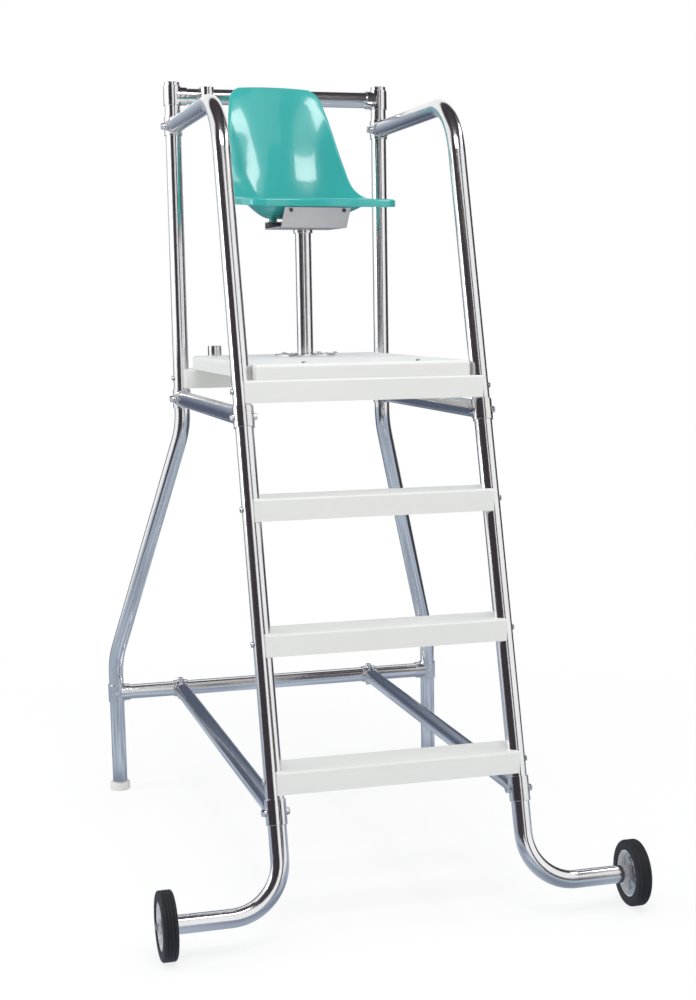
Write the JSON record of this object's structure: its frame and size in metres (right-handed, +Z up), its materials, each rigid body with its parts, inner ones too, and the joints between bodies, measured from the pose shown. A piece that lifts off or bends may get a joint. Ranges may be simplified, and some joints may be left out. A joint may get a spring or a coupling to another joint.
{
  "type": "lifeguard chair",
  "caption": "Tall lifeguard chair of bent tube with white steps and deck, a swivelling turquoise shell seat, armrest rails and transport wheels at the front.",
  "frame": {"origin": "on the ground under the middle of the chair's outline", "axes": "+Z up, the sitter faces -Y, +X to the viewer's right when facing the chair"},
  "size_m": [1.311, 1.6693, 2.287],
  "materials": {
    "tube_steel": "polished steel tube",
    "fitting_steel": "satin steel castings",
    "fasteners": "bright steel fasteners",
    "white_plastic": "moulded white plastic",
    "cap_plastic": "white plastic",
    "bracket_steel": "grey satin steel",
    "seat_gloss": "turquoise gloss shell",
    "bush_plastic": "bearing plastic",
    "rim_metal": "bright cast rim",
    "tyre_rubber": "black rubber"
  },
  "bodies": {
    "frame": {"rear_leg_left": "tube_steel", "rear_leg_right": "tube_steel", "front_rail_left": "tube_steel", "front_rail_right": "tube_steel", "wheel_leg_left": "tube_steel", "wheel_leg_right": "tube_steel", "side_brace_left": "tube_steel", "side_brace_right": "tube_steel", "lower_brace_left": "tube_steel", "lower_brace_right": "tube_steel", "top_rail": "tube_steel", "lower_cross_tube": "tube_steel", "pedestal_post": "tube_steel", "top_tee_left": "fitting_steel", "top_tee_right": "fitting_steel", "foot_tee_left": "fitting_steel", "foot_tee_right": "fitting_steel", "arm_tee_left": "fitting_steel", "arm_tee_right": "fitting_steel", "rear_brace_tee_left": "fitting_steel", "rear_brace_tee_right": "fitting_steel", "front_brace_tee_left": "fitting_steel", "front_brace_tee_right": "fitting_steel", "rail_coupling_left": "fitting_steel", "rail_coupling_right": "fitting_steel", "cross_tee_left": "fitting_steel", "cross_tee_right": "fitting_steel", "pedestal_base": "fitting_steel", "pole_sleeve": "fitting_steel", "pole_socket": "fitting_steel", "clamp_bolts": "fasteners", "clamp_nuts": "fasteners", "tee_screws": "fasteners", "tread_bolts": "fasteners", "deck_bolts": "fasteners", "deck_nuts": "fasteners", "pedestal_bolts": "fasteners", "axle_bolt_left": "fasteners", "axle_bolt_right": "fasteners", "axle_plugs": "fasteners", "top_step": "white_plastic", "middle_step": "white_plastic", "bottom_step": "white_plastic", "front_platform_tread": "white_plastic", "rear_platform_tread": "white_plastic", "deck": "white_plastic", "foot_caps": "cap_plastic", "upright_plugs": "cap_plastic", "swivel_bush": "bush_plastic"},
    "seat": {"seat_shell": "seat_gloss", "seat_bracket": "bracket_steel", "seat_bolts": "fasteners", "seat_spindle": "fasteners"},
    "left_wheel": {"tyre_left": "tyre_rubber", "wheel_rim_left": "rim_metal", "wheel_bush_left": "bush_plastic"},
    "right_wheel": {"tyre_right": "tyre_rubber", "wheel_rim_right": "rim_metal", "wheel_bush_right": "bush_plastic"}
  },
  "joints": [
    {"name": "seat_swivel", "type": "hinge", "parent": "frame", "child": "seat", "pos_m": [0, 0.27371, 1.83], "axis": [0, 0, 1], "continuous": true},
    {"name": "left_wheel_spin", "type": "hinge", "parent": "frame", "child": "left_wheel", "pos_m": [-0.629, -0.74571, 0.089], "axis": [1, 0, 0], "continuous": true},
    {"name": "right_wheel_spin", "type": "hinge", "parent": "frame", "child": "right_wheel", "pos_m": [0.629, -0.74571, 0.089], "axis": [1, 0, 0], "continuous": true}
  ]
}
